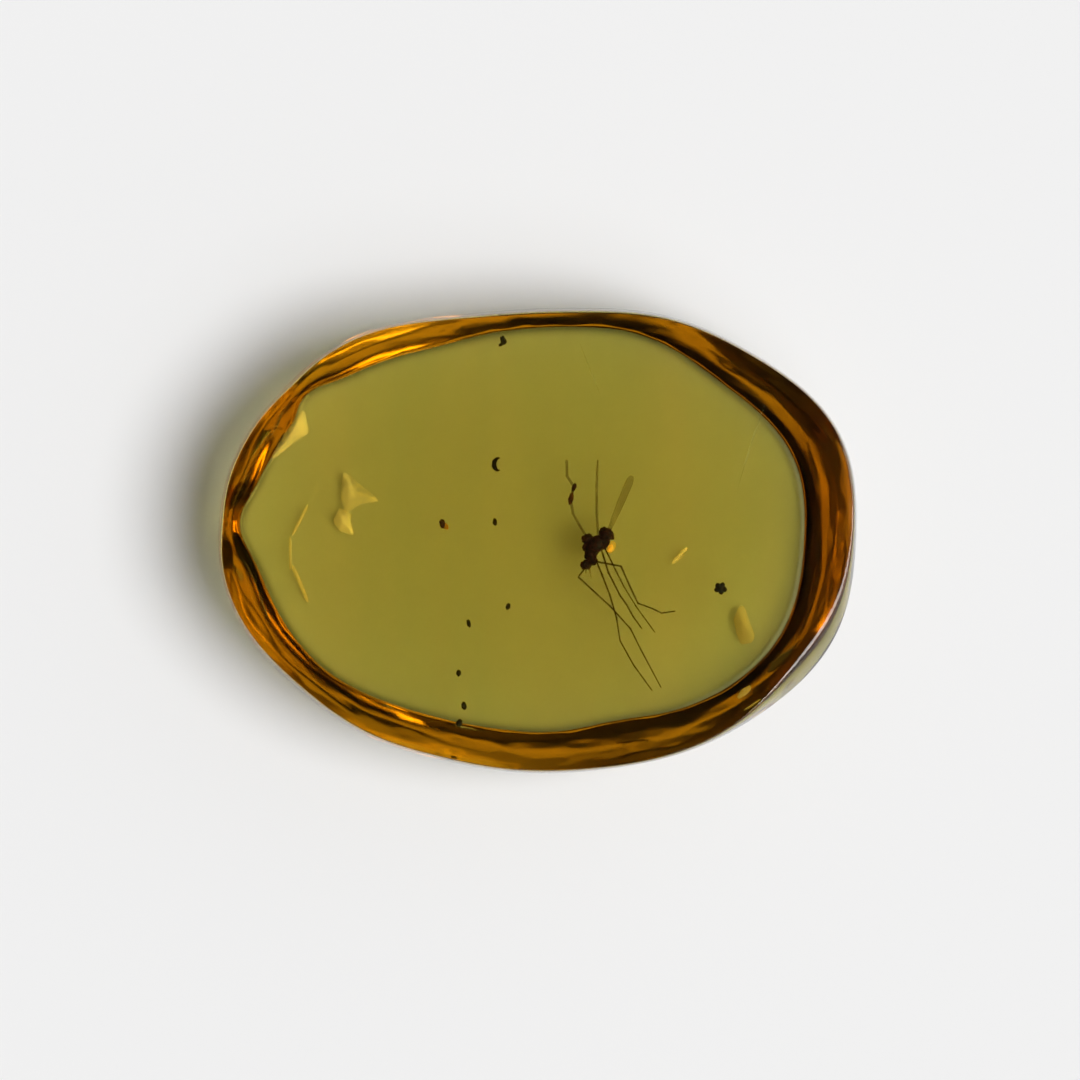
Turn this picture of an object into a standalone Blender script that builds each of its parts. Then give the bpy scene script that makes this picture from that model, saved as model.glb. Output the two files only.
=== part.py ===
"""Insect in amber: a polished oval amber stone with a long-legged fly and a few
grains of debris sealed in it.

The stone is parted in two on a level plane through the inclusions, so that each
inclusion is a solid of its own in a pocket. The stone rests on the flat middle
of its underside. X is its length, Y its width and Z its thickness.
"""
import math

import bmesh
import bpy
from mathutils import Matrix, Vector

MM = 0.001

# ---------------------------------------------------------------- dimensions
# Stone, in millimetres. Outline radii are taken every 15 degrees from +X.
OUTLINE_RADII = (15.02, 15.2, 14.37, 13.12, 12.19, 11.31, 10.9, 11.06,
                 11.9, 13.05, 13.94, 14.72, 14.98, 14.47, 13.33, 12.37,
                 11.52, 11.04, 10.95, 11.17, 11.84, 12.81, 13.95, 14.85)
CAP_HEIGHT = 5.2          # top face where it meets the shoulder
DOME = 0.6                # rise of the top face from its edge to its middle
SHOULDER = 0.9            # height over which wall and top face blend
WALL_LEAN = 5.0           # upper wall's lean inwards, degrees from upright
WALL_LEAN_MORE = 15.0     # extra lean of the ground patch on one side
LEAN_AZIMUTH = -22.0      # middle of that patch, degrees
LEAN_SPREAD = 15.0        # half width of that patch, degrees
GIRDLE_ROUND = 0.25       # rounding under the widest line: inset ...
GIRDLE_RISE = 0.3         # ... and height
UNDER_SAG = 0.12          # lift of the underside where the bevel starts
UNDER_FLAT = 0.45         # share of the underside that is dead flat
UNDER_HALF = (12.5, 9.2)  # half length and half width of the underside

# The bevel ground round the underside, taken every 15 degrees from +X: its
# width, its slope at the foot, its slope at the edge, and how fast the one
# gives way to the other (1 evenly, 2.5 soon after the foot).
BEVEL_WIDTHS = (2.5, 2.55, 2.45, 2.0, 1.45, 1.15, 1.12, 1.27,
                1.7, 1.8, 1.7, 1.65, 1.8, 1.95, 1.7, 1.95,
                2.05, 2.05, 2.05, 2.2, 2.35, 2.15, 2.2, 2.45)
FOOT_SLOPES = (68, 68, 68, 67.5, 66.5, 66, 66, 67, 69, 71, 71, 71,
               71, 71, 71, 71, 71, 70, 68.5, 67.5, 67, 67, 67.5, 68)
EDGE_SLOPES = (45, 45, 46, 50, 58, 60, 60, 56, 48, 45, 45, 45,
               45, 45, 45, 45, 45, 46, 49, 52, 53, 50, 46, 45)
SLOPE_FALL = (2.5, 2.5, 2.5, 2, 1.3, 1, 1, 1.5, 2, 2, 2, 2,
              2, 2, 2, 2, 2, 2, 1.6, 1.5, 1.5, 1.8, 2.2, 2.5)
# Places where two facets meet and the bevel is narrower: azimuth, change of
# width in millimetres, half spread in degrees.
NARROWINGS = ((148, -0.55, 6), (177, -0.60, 6))
FOOT_BLEND = 0.25         # rounding where base and bevel meet ...
FOOT_BLEND_MORE = (157, 0.8, 7)   # ... and the corner that is worn rounder

PART_HEIGHT = 2.9         # level plane on which the stone is parted
PART_GAP = 0.3            # gap left there between the two halves
WELL_CLEAR = 0.35         # clearance round a grain in its well

COLUMNS = 96              # facets of the mesh round the outline
TOP_INSETS = (0.03, 0.08, 0.14, 0.22, 0.34, 0.55, 1.1)
TOP_SHARES = (0.82, 0.55, 0.28)
BASE_INSETS = (0.03, 0.1, 0.25)
BEVEL_RINGS = 9           # rings across the bevel
FOOT_MARGIN = 0.3         # how far inside the bevel's foot they reach
BASE_SHARES = (0.80, 0.62, 0.42)

# Insect. Plan positions are millimetres from the stone's middle; the third
# number is the height above the resting plane.
LEG_RADIUS = 0.05
LEG_SIDES = 5
BODY_LOBES = (
    # middle, half sizes, turn about Z in degrees
    ((2.67, -0.19, 3.0), (0.50, 0.36, 0.33), 28),     # thorax
    ((3.28, 0.30, 3.02), (0.34, 0.27, 0.27), -25),    # abdomen's broad end
    ((3.10, -0.06, 3.0), (0.27, 0.31, 0.26), 10),     # abdomen's waist
    ((2.40, 0.04, 2.98), (0.26, 0.23, 0.25), 0),      # shoulder hump
    ((2.53, -0.66, 2.95), (0.23, 0.26, 0.22), 15),    # neck
    ((2.29, -1.15, 2.93), (0.25, 0.22, 0.22), 0),     # head, left eye
    ((2.62, -0.96, 2.93), (0.24, 0.22, 0.22), 0),     # head, right eye
)
LEGS = (
    ((2.35, 0.12, 3.0), (2.0, 0.69, 2.9), (1.70, 1.22, 2.75), (1.61, 1.79, 2.65),
     (1.72, 2.52, 2.6), (1.43, 2.96, 2.55), (1.41, 3.70, 2.45)),
    ((2.88, 0.12, 3.0), (2.82, 1.2, 2.8), (2.80, 2.5, 2.55), (2.85, 3.70, 2.3)),
    ((2.35, -1.18, 2.9), (1.95, -1.72, 3.1), (3.43, -3.07, 3.5),
     (4.38, -4.12, 3.6), (4.86, -5.08, 3.55), (5.80, -6.84, 3.35)),
    ((2.60, -0.50, 2.9), (3.05, -1.6, 2.7), (3.42, -2.55, 2.55),
     (3.73, -3.60, 2.45), (3.90, -4.68, 2.4), (4.53, -5.80, 2.3),
     (5.38, -6.97, 2.2)),
    ((2.95, -0.20, 2.95), (3.35, -1.5, 3.05), (3.88, -2.55, 3.12),
     (4.27, -3.46, 3.15), (4.56, -4.15, 3.1), (5.0, -4.9, 3.0)),
    ((3.12, -0.25, 3.0), (3.68, -1.38, 3.3), (4.07, -2.15, 3.4),
     (4.62, -3.05, 3.35), (5.50, -4.26, 3.15)),
    ((2.75, -1.0, 3.0), (3.94, -1.22, 3.7), (4.33, -2.10, 3.85),
     (4.73, -2.94, 3.8), (5.44, -3.20, 3.7), (5.83, -3.40, 3.6),
     (6.45, -3.31, 3.5)),
)
TARSUS_SWELLING = ((1.60, 1.78, 2.65), (1.72, 2.54, 2.6), 0.13)
PALP = ((2.45, -1.25, 2.85), (2.55, -1.72, 2.75), 0.06)
WING = ((3.38, 0.45, 3.0), (4.46, 2.98, 2.6))         # root and tip
WING_HALF_WIDTH = 0.15
WING_THICKNESS = 0.09

POCKET_PLAN = ((1.0, 4.15), (3.2, 4.15), (5.05, 3.4), (5.0, 1.6), (4.25, 0.2),
               (4.6, -1.0), (6.95, -2.75), (6.95, -3.9), (6.2, -5.0),
               (6.45, -6.9), (5.8, -7.4), (4.85, -7.4), (3.3, -4.6),
               (1.35, -2.2), (1.3, -0.9), (1.85, 0.1), (1.15, 1.2))
POCKET_HEIGHTS = (1.75, 4.3)

# Grains: middle (x, y, z), half sizes, turn in degrees.
SPECKS = (
    ((-1.94, 0.84, 3.1), (0.10, 0.17, 0.10), 10),
    ((-1.33, -3.09, 2.8), (0.10, 0.15, 0.09), -15),
    ((-3.16, -3.88, 3.0), (0.09, 0.19, 0.09), 14),
    ((-3.63, -6.18, 2.7), (0.11, 0.15, 0.10), 0),
    ((-3.39, -7.72, 3.1), (0.12, 0.18, 0.09), 8),
    ((-3.60, -8.50, 2.7), (0.14, 0.17, 0.11), -20),
    ((-1.57, 9.28, 3.0), (0.15, 0.24, 0.12), 25),
)
ORANGE_GRAIN = ((-4.33, 0.70, 2.9), (0.19, 0.25, 0.15), 20)
CRESCENT = dict(middle=(-1.85, 3.51, 3.0), outer=0.31, inner=0.27,
                shift=0.15, thick=0.16)
STAR = dict(middle=(8.59, -2.25, 2.9), mean=0.24, lobe=0.085, lobes=5,
            thick=0.18)


# ------------------------------------------------------------------ geometry
def smooth_max(a, b, blend):
    """The larger of two heights, with a rounded junction."""
    return max(a, b) + max(0.0, blend - abs(a - b)) ** 2 / (4.0 * blend)


def smooth_min(a, b, blend):
    return -smooth_max(-a, -b, blend)


def around(values, angle):
    """Value at an angle of a smooth wave through evenly spaced values."""
    n = len(values)
    total = 0.0
    for k, value in enumerate(values):
        h = (angle - 2 * math.pi * k / n + math.pi) % (2 * math.pi) - math.pi
        weight = 1.0 if abs(h) < 1e-9 else math.sin(n * h / 2) / (n * math.tan(h / 2))
        total += weight * value
    return total


def swell(angle, azimuth, amount, spread):
    """A local change that dies away on both sides of an azimuth."""
    off = (math.degrees(angle) - azimuth + 180) % 360 - 180
    return amount * math.exp(-(off / spread) ** 2)


def outline(angle):
    return around(OUTLINE_RADII, angle)


def foot_radius(angle):
    """Radius at which the flat base ends and the bevel starts."""
    width = around(BEVEL_WIDTHS, angle) + sum(swell(angle, *n) for n in NARROWINGS)
    return outline(angle) - width


def underside(angle, radius, edge):
    """Height of the underside: a faintly bowed base, then the bevel."""
    share = math.hypot(radius * math.cos(angle) / UNDER_HALF[0],
                       radius * math.sin(angle) / UNDER_HALF[1])
    base = UNDER_SAG * max(0.0, (share - UNDER_FLAT) / (1 - UNDER_FLAT)) ** 2
    foot = foot_radius(angle)
    width, out = edge - foot, radius - foot
    steep = math.tan(math.radians(around(FOOT_SLOPES, angle)))
    easy = math.tan(math.radians(around(EDGE_SLOPES, angle)))
    fall = around(SLOPE_FALL, angle) + 1
    if out < 0:
        bevel = steep * out
    else:
        bevel = easy * out + ((steep - easy) * width / fall
                              * (1 - max(0.0, 1 - out / width) ** fall))
    return smooth_max(base, bevel, FOOT_BLEND + swell(angle, *FOOT_BLEND_MORE))


def lower_height(angle, radius, edge):
    t = max(0.0, 1 - (edge - radius) / GIRDLE_ROUND)
    return (underside(angle, radius, edge)
            + GIRDLE_RISE * (1 - math.sqrt(max(0.0, 1 - t * t))))


def upper_height(angle, radius, edge):
    lean = WALL_LEAN + swell(angle, LEAN_AZIMUTH, WALL_LEAN_MORE, LEAN_SPREAD)
    wall = lower_height(angle, edge, edge) + (edge - radius) / math.tan(math.radians(lean))
    cap = CAP_HEIGHT + DOME * (1 - (radius / edge) ** 2)
    return smooth_min(wall, cap, SHOULDER)


def outline_middle():
    """Middle of the outline's box, so that the stone stands over the origin."""
    pts = [(outline(a) * math.cos(a), outline(a) * math.sin(a))
           for a in (math.radians(d / 2) for d in range(720))]
    xs, ys = zip(*pts)
    return (min(xs) + max(xs)) / 2, (min(ys) + max(ys)) / 2


MIDDLE = outline_middle()


# ------------------------------------------------------------ Blender helpers
def link(name, mesh):
    ob = bpy.data.objects.new(name, mesh)
    bpy.context.scene.collection.objects.link(ob)
    return ob


def from_bmesh(name, bm):
    bmesh.ops.recalc_face_normals(bm, faces=bm.faces[:])
    mesh = bpy.data.meshes.new(name)
    bm.to_mesh(mesh)
    bm.free()
    return link(name, mesh)


def stone(name):
    """The whole stone as rings of points from the middle out to the edge."""
    bm = bmesh.new()
    angles = [2 * math.pi * k / COLUMNS for k in range(COLUMNS)]
    edges = [outline(a) for a in angles]

    feet = [foot_radius(a) - FOOT_MARGIN for a in angles]

    def ring(height, radii):
        row = []
        for a, edge, radius in zip(angles, edges, radii):
            z = height(a, radius, edge)
            row.append(bm.verts.new(((radius * math.cos(a) - MIDDLE[0]) * MM,
                                     (radius * math.sin(a) - MIDDLE[1]) * MM,
                                     max(0.0, z) * MM)))
        return row

    top = [[e - d for e in edges] for d in TOP_INSETS]
    top += [[e * share for e in edges] for share in TOP_SHARES]
    base = [[e - d for e in edges] for d in BASE_INSETS]
    for i in range(1, BEVEL_RINGS + 1):
        t = i / BEVEL_RINGS
        base.append([(e - BASE_INSETS[-1]) * (1 - t) + f * t for e, f in zip(edges, feet)])
    base += [[f * share for f in feet] for share in BASE_SHARES]
    girdle = ring(lower_height, edges)
    for height, courses in ((upper_height, top), (lower_height, base)):
        rows = [girdle] + [ring(height, radii) for radii in courses]
        centre = bm.verts.new((-MIDDLE[0] * MM, -MIDDLE[1] * MM,
                               max(0.0, height(0.0, 0.0, edges[0])) * MM))
        for outer, inner in zip(rows, rows[1:]):
            for k in range(COLUMNS):
                j = (k + 1) % COLUMNS
                bm.faces.new((outer[k], outer[j], inner[j], inner[k]))
        for k in range(COLUMNS):
            bm.faces.new((rows[-1][k], rows[-1][(k + 1) % COLUMNS], centre))
    bmesh.ops.triangulate(bm, faces=bm.faces[:])
    return from_bmesh(name, bm)


def prism(name, plan, low, high):
    """A plan outline in millimetres raised from one height to another."""
    bm = bmesh.new()
    foot = bm.faces.new([bm.verts.new((x * MM, y * MM, low * MM)) for x, y in plan])
    raised = bmesh.ops.extrude_face_region(bm, geom=[foot])
    moved = [g for g in raised['geom'] if isinstance(g, bmesh.types.BMVert)]
    bmesh.ops.translate(bm, verts=moved, vec=(0, 0, (high - low) * MM))
    return from_bmesh(name, bm)


def ellipsoid(name, middle, half, turn, columns=12, rows=8):
    bm = bmesh.new()
    bmesh.ops.create_uvsphere(bm, u_segments=columns, v_segments=rows, radius=1.0)
    place = (Matrix.Translation(Vector(middle) * MM)
             @ Matrix.Rotation(math.radians(turn), 4, 'Z')
             @ Matrix.Diagonal((half[0] * MM, half[1] * MM, half[2] * MM, 1)))
    bmesh.ops.transform(bm, matrix=place, verts=bm.verts[:])
    return from_bmesh(name, bm)


def limb(name, points, radius, sides=LEG_SIDES, taper=0.75):
    """A jointed limb: one tapering tube through its joints, with flat ends."""
    pts = [Vector(p) * MM for p in points]
    bm = bmesh.new()
    rows = []
    for i, p in enumerate(pts):
        ahead = (pts[min(i + 1, len(pts) - 1)] - p)
        behind = (p - pts[max(i - 1, 0)])
        along = (ahead.normalized() + behind.normalized()).normalized()
        side = along.cross(Vector((0, 0, 1))).normalized()
        up = side.cross(along).normalized()
        r = radius * MM * (1 + (taper - 1) * i / (len(pts) - 1))
        rows.append([bm.verts.new(p + side * r * math.cos(2 * math.pi * k / sides)
                                  + up * r * math.sin(2 * math.pi * k / sides))
                     for k in range(sides)])
    for a, b in zip(rows, rows[1:]):
        for k in range(sides):
            j = (k + 1) % sides
            bm.faces.new((a[k], a[j], b[j], b[k]))
    bm.faces.new(rows[0])
    bm.faces.new(rows[-1])
    return from_bmesh(name, bm)


def blade(name, root, tip, half_width, thickness):
    """A folded wing: a narrow leaf shape between its root and its tip."""
    root, tip = Vector(root) * MM, Vector(tip) * MM
    along = (tip - root).normalized()
    side = along.cross(Vector((0, 0, 1))).normalized()
    up = side.cross(along).normalized()
    profile = ((0.0, 0.35), (0.25, 0.85), (0.6, 1.0), (0.88, 0.8), (1.0, 0.4))
    bm = bmesh.new()
    rows = []
    for t, w in profile:
        p = root + (tip - root) * t
        wide, thick = half_width * MM * w, thickness * MM / 2
        rows.append([bm.verts.new(p + side * wide * s + up * thick * h)
                     for s, h in ((-1, 0), (-0.5, -1), (0.5, -1), (1, 0),
                                  (0.5, 1), (-0.5, 1))])
    for a, b in zip(rows, rows[1:]):
        for k in range(6):
            j = (k + 1) % 6
            bm.faces.new((a[k], a[j], b[j], b[k]))
    bm.faces.new(rows[0])
    bm.faces.new(rows[-1])
    return from_bmesh(name, bm)


def evaluated(name, ob):
    """Replace an object by the mesh that its modifiers give."""
    mesh = bpy.data.meshes.new_from_object(
        ob.evaluated_get(bpy.context.evaluated_depsgraph_get()))
    mesh.name = name
    out = link(name, mesh)
    return out


def combine(name, base, others, operation):
    """Union with, or difference from, each of the other objects in turn."""
    for other in others:
        mod = base.modifiers.new(other.name, 'BOOLEAN')
        mod.operation = operation
        mod.solver = 'EXACT'
        mod.object = other
    bpy.context.view_layer.update()
    out = evaluated(name + '_made', base)
    drop(base)
    out.name = name
    return out


def drop(*objects):
    for ob in objects:
        bpy.data.objects.remove(ob)


def material(name, colour, roughness, alpha=1.0, transmission=0.0, ior=1.5):
    mat = bpy.data.materials.new(name)
    mat.use_nodes = True
    shader = mat.node_tree.nodes['Principled BSDF']
    shader.inputs['Base Color'].default_value = (*colour, 1)
    shader.inputs['Roughness'].default_value = roughness
    shader.inputs['Metallic'].default_value = 0.0
    shader.inputs['IOR'].default_value = ior
    shader.inputs['Transmission Weight'].default_value = transmission
    shader.inputs['Alpha'].default_value = alpha
    return mat


def dress(ob, mat, smooth=True):
    ob.data.materials.clear()
    ob.data.materials.append(mat)
    if smooth:
        ob.data.shade_smooth()
        ob.data.set_sharp_from_angle(angle=math.radians(35))
    return ob


# ---------------------------------------------------------------- the pieces
def crescent_plan(middle, outer, inner, shift):
    """Outline of a crescent that opens towards +X."""
    cx, cy = middle
    reach = math.acos((outer ** 2 + shift ** 2 - inner ** 2) / (2 * outer * shift))
    plan = []
    for i in range(13):
        a = reach + (2 * math.pi - 2 * reach) * i / 12
        plan.append((cx + outer * math.cos(a), cy + outer * math.sin(a)))
    back = math.atan2(outer * math.sin(reach), outer * math.cos(reach) - shift)
    for i in range(1, 10):
        a = (2 * math.pi - back) + (2 * back - 2 * math.pi) * i / 10
        plan.append((cx + shift + inner * math.cos(a), cy + inner * math.sin(a)))
    return plan


def star_plan(middle, mean, lobe, lobes):
    cx, cy = middle
    plan = []
    for i in range(lobes * 6):
        a = 2 * math.pi * i / (lobes * 6)
        r = mean + lobe * math.cos(lobes * (a - math.radians(60)))
        plan.append((cx + r * math.cos(a), cy + r * math.sin(a)))
    return plan


def round_plan(x, y, radius, sides=10):
    return [(x + radius * math.cos(2 * math.pi * k / sides),
             y + radius * math.sin(2 * math.pi * k / sides)) for k in range(sides)]


def build_insect():
    lobes = [ellipsoid('lobe%d' % i, *spec) for i, spec in enumerate(BODY_LOBES)]
    limbs = [limb('leg%d' % i, pts, LEG_RADIUS) for i, pts in enumerate(LEGS)]
    limbs.append(limb('palp', PALP[:2], PALP[2], taper=0.5))
    a, b, r = TARSUS_SWELLING
    middle = (Vector(a) + Vector(b)) / 2
    reach = (Vector(b) - Vector(a)).length / 2
    turn = math.degrees(math.atan2(b[1] - a[1], b[0] - a[0]))
    limbs.append(ellipsoid('swelling', middle, (reach, r, r), turn, 8, 8))
    limbs.append(blade('wing', *WING, WING_HALF_WIDTH, WING_THICKNESS))
    insect = combine('insect', lobes[0], lobes[1:] + limbs, 'UNION')
    drop(*lobes[1:], *limbs)
    return insect


def build_halves(wells):
    """The stone cut on the parting plane, with the wells sunk in each half."""
    reach = 20.0
    square = ((-reach, -reach), (reach, -reach), (reach, reach), (-reach, reach))
    gap = PART_GAP / 2
    below = prism('below', square, -5.0, PART_HEIGHT + gap)
    above = prism('above', square, PART_HEIGHT - gap, 12.0)
    upper = combine('amber_upper', stone('upper_blank'), [below] + wells, 'DIFFERENCE')
    lower = combine('amber_lower', stone('lower_blank'), [above] + wells, 'DIFFERENCE')
    drop(below, above)
    return upper, lower


def main():
    for ob in list(bpy.data.objects):
        bpy.data.objects.remove(ob)

    insect = build_insect()
    wells = [prism('pocket', POCKET_PLAN, *POCKET_HEIGHTS)]
    grains = []
    for i, (middle, half, turn) in enumerate(SPECKS):
        grains.append(ellipsoid('speck_%d' % (i + 1), middle, half, turn, 8, 6))
        wells.append(prism('well%d' % i, round_plan(*middle[:2], max(half) + WELL_CLEAR),
                           middle[2] - half[2] - WELL_CLEAR, middle[2] + half[2] + WELL_CLEAR))
    middle, half, turn = ORANGE_GRAIN
    orange = ellipsoid('orange_grain', middle, half, turn, 10, 8)
    wells.append(prism('well_orange', round_plan(*middle[:2], max(half) + WELL_CLEAR),
                       middle[2] - half[2] - WELL_CLEAR, middle[2] + half[2] + WELL_CLEAR))

    spec = CRESCENT
    x, y, z = spec['middle']
    crescent = prism('crescent_fragment',
                     crescent_plan((x, y), spec['outer'], spec['inner'], spec['shift']),
                     z - spec['thick'] / 2, z + spec['thick'] / 2)
    wells.append(prism('well_crescent', round_plan(x, y, spec['outer'] + WELL_CLEAR, 12),
                       z - spec['thick'] / 2 - WELL_CLEAR, z + spec['thick'] / 2 + WELL_CLEAR))
    spec = STAR
    x, y, z = spec['middle']
    star = prism('star_grain', star_plan((x, y), spec['mean'], spec['lobe'], spec['lobes']),
                 z - spec['thick'] / 2, z + spec['thick'] / 2)
    wells.append(prism('well_star', round_plan(x, y, spec['mean'] + spec['lobe'] + WELL_CLEAR, 12),
                       z - spec['thick'] / 2 - WELL_CLEAR, z + spec['thick'] / 2 + WELL_CLEAR))

    upper, lower = build_halves(wells)
    drop(*wells)

    dress(upper, material('amber_upper', (0.83, 0.60, 0.08), 0.03, 0.45, 1.0, 1.54))
    dress(lower, material('amber_lower', (0.80, 0.57, 0.07), 0.03, 0.45, 1.0, 1.54))
    dress(insect, material('insect_cuticle', (0.035, 0.014, 0.008), 0.45))
    dress(orange, material('orange_grain', (0.20, 0.07, 0.012), 0.5))
    dress(crescent, material('crescent_fragment', (0.015, 0.011, 0.006), 0.5))
    dress(star, material('star_grain', (0.012, 0.012, 0.010), 0.6))
    for i, grain in enumerate(grains):
        dress(grain, material('speck_%d' % (i + 1), (0.03, 0.024, 0.008), 0.6))


main()
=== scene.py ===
"""Looks of the insect in amber: the clear stone with its hollows, the fly, the
grains, and the floor, light and camera they are shown with.

Sizes are in millimetres and angles in degrees, unless a comment says otherwise."""
import math

import bmesh
import bpy
from mathutils import Matrix, Vector, noise


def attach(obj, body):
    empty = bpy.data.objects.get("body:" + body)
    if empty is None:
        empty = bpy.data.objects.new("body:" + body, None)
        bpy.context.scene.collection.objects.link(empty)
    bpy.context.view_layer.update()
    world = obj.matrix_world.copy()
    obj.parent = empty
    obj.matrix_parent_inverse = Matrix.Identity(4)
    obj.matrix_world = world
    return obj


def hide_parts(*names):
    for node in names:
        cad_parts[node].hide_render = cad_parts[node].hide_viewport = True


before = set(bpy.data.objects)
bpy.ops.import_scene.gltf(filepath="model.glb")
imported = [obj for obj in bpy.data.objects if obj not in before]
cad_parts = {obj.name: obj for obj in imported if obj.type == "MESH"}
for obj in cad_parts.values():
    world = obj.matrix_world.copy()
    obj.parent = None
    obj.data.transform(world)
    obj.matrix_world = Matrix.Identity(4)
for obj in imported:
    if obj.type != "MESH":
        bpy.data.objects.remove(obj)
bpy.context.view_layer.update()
MM = 0.001
FRAME_PX = 1080                  # width and height of the frame, in pixels
PX = 0.0468                      # millimetres to one pixel of the frame
STONE_PX = (536.5, 540)          # pixel at the middle of the stone

# ------------------------------------------------------------ stone's numbers
# The stone's shape, as in its solids. Outline radii, and the bevel's widths and
# slopes below, are taken every 15 degrees from +X.
OUTLINE_RADII = (15.02, 15.2, 14.37, 13.12, 12.19, 11.31, 10.9, 11.06,
                 11.9, 13.05, 13.94, 14.72, 14.98, 14.47, 13.33, 12.37,
                 11.52, 11.04, 10.95, 11.17, 11.84, 12.81, 13.95, 14.85)
# Top face: its height at the shoulder, its rise from there, the shoulder's blend.
CAP_HEIGHT, DOME, SHOULDER = 5.2, 0.6, 0.9
# Upper wall: its lean from upright, and the ground patch that leans more.
WALL_LEAN, WALL_LEAN_MORE, LEAN_AZIMUTH, LEAN_SPREAD = 5.0, 15.0, -22.0, 15.0
# Rounding under the widest line: inset and height.
GIRDLE_ROUND, GIRDLE_RISE = 0.25, 0.3
# Underside: its lift at the bevel, its share that is dead flat, its half sizes.
UNDER_SAG, UNDER_FLAT, UNDER_HALF = 0.12, 0.45, (12.5, 9.2)
# Bevel: width, slope at the foot and at the edge, and how fast the one gives way
# to the other. The foot's slope is up to 1.6 less than the solid's on the left.
BEVEL_WIDTHS = (2.5, 2.55, 2.45, 2.0, 1.45, 1.15, 1.12, 1.27,
                1.7, 1.8, 1.7, 1.65, 1.8, 1.95, 1.7, 1.95,
                2.05, 2.05, 2.05, 2.2, 2.35, 2.15, 2.2, 2.45)
FOOT_SLOPES = (68, 68, 68, 67.5, 66.5, 66, 66, 67, 69, 69.6, 69.4, 69.4,
               69.4, 69.4, 69.4, 70, 70, 70, 68.5, 67.5, 67, 67, 67.5, 68)
EDGE_SLOPES = (45, 45, 46, 50, 58, 60, 60, 56, 48, 45, 45, 45,
               45, 45, 45, 45, 45, 46, 49, 52, 53, 50, 46, 45)
SLOPE_FALL = (2.5, 2.5, 2.5, 2, 1.3, 1, 1, 1.5, 2, 2, 2, 2,
              2, 2, 2, 2, 2, 2, 1.6, 1.5, 1.5, 1.8, 2.2, 2.5)
# Where two facets meet and the bevel is narrower: azimuth, change, spread. Then
# the rounding at the bevel's foot, with the corner that is worn rounder.
NARROWINGS = ((148, -0.55, 6), (177, -0.60, 6))
FOOT_BLEND, FOOT_BLEND_MORE = 0.25, (157, 0.8, 7)
# Grinding marks along the bevel: height, width across, and number round.
# They begin a little inside the foot, and fade in there and out at the girdle.
RIPPLE, RIPPLE_ACROSS, RIPPLE_ROUND = 0.018, 0.4, 9
RIPPLE_LEAD, RIPPLE_IN, RIPPLE_OUT = 0.2, 0.3, 0.25
MATT = 0.12                      # roughness of the bevel, which is less polished
PAINTED_SHADE_TINT = (0.12, 0.16, 0.15)        # painted shade: a darker tint along the bevel's foot

# Clear amber: refraction, and what it takes out of light in each millimetre.
AMBER_IOR = 1.54
ABSORB = (0.018, 0.062, 0.238)

# How finely the stone is divided: points round it, rings of points on the
# shoulder, the bevel and the girdle, and shares of the way out on the flatter parts.
COLUMNS = 360
SHOULDER_RINGS, BEVEL_RINGS, GIRDLE_RINGS = 30, 46, 6
SHOULDER_REACH, FOOT_MARGIN = 1.3, 0.5
TOP_SHARES = (.98, .95, .91, .86, .80, .73, .65, .56, .47, .38, .29, .20, .12, .05)
BASE_SHARES = (.97, .93, .88, .82, .75, .67, .58, .49, .40, .31, .22, .13, .06)


def smooth_max(a, b, blend):
    return max(a, b) + max(0.0, blend - abs(a - b)) ** 2 / (4.0 * blend)


def around(values, angle):
    """Value at an angle of a smooth wave through evenly spaced values."""
    n = len(values)
    total = 0.0
    for k, value in enumerate(values):
        h = (angle - 2 * math.pi * k / n + math.pi) % (2 * math.pi) - math.pi
        total += value * (1.0 if abs(h) < 1e-9 else
                          math.sin(n * h / 2) / (n * math.tan(h / 2)))
    return total


def swell(angle, azimuth, amount, spread):
    """A local change that dies away on both sides of an azimuth."""
    off = (math.degrees(angle) - azimuth + 180) % 360 - 180
    return amount * math.exp(-(off / spread) ** 2)


def outline(angle):
    return around(OUTLINE_RADII, angle)


def outline_middle():
    pts = [(outline(a) * math.cos(a), outline(a) * math.sin(a))
           for a in (math.radians(d / 2) for d in range(720))]
    xs, ys = zip(*pts)
    return (min(xs) + max(xs)) / 2, (min(ys) + max(ys)) / 2


MIDDLE = outline_middle()


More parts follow.
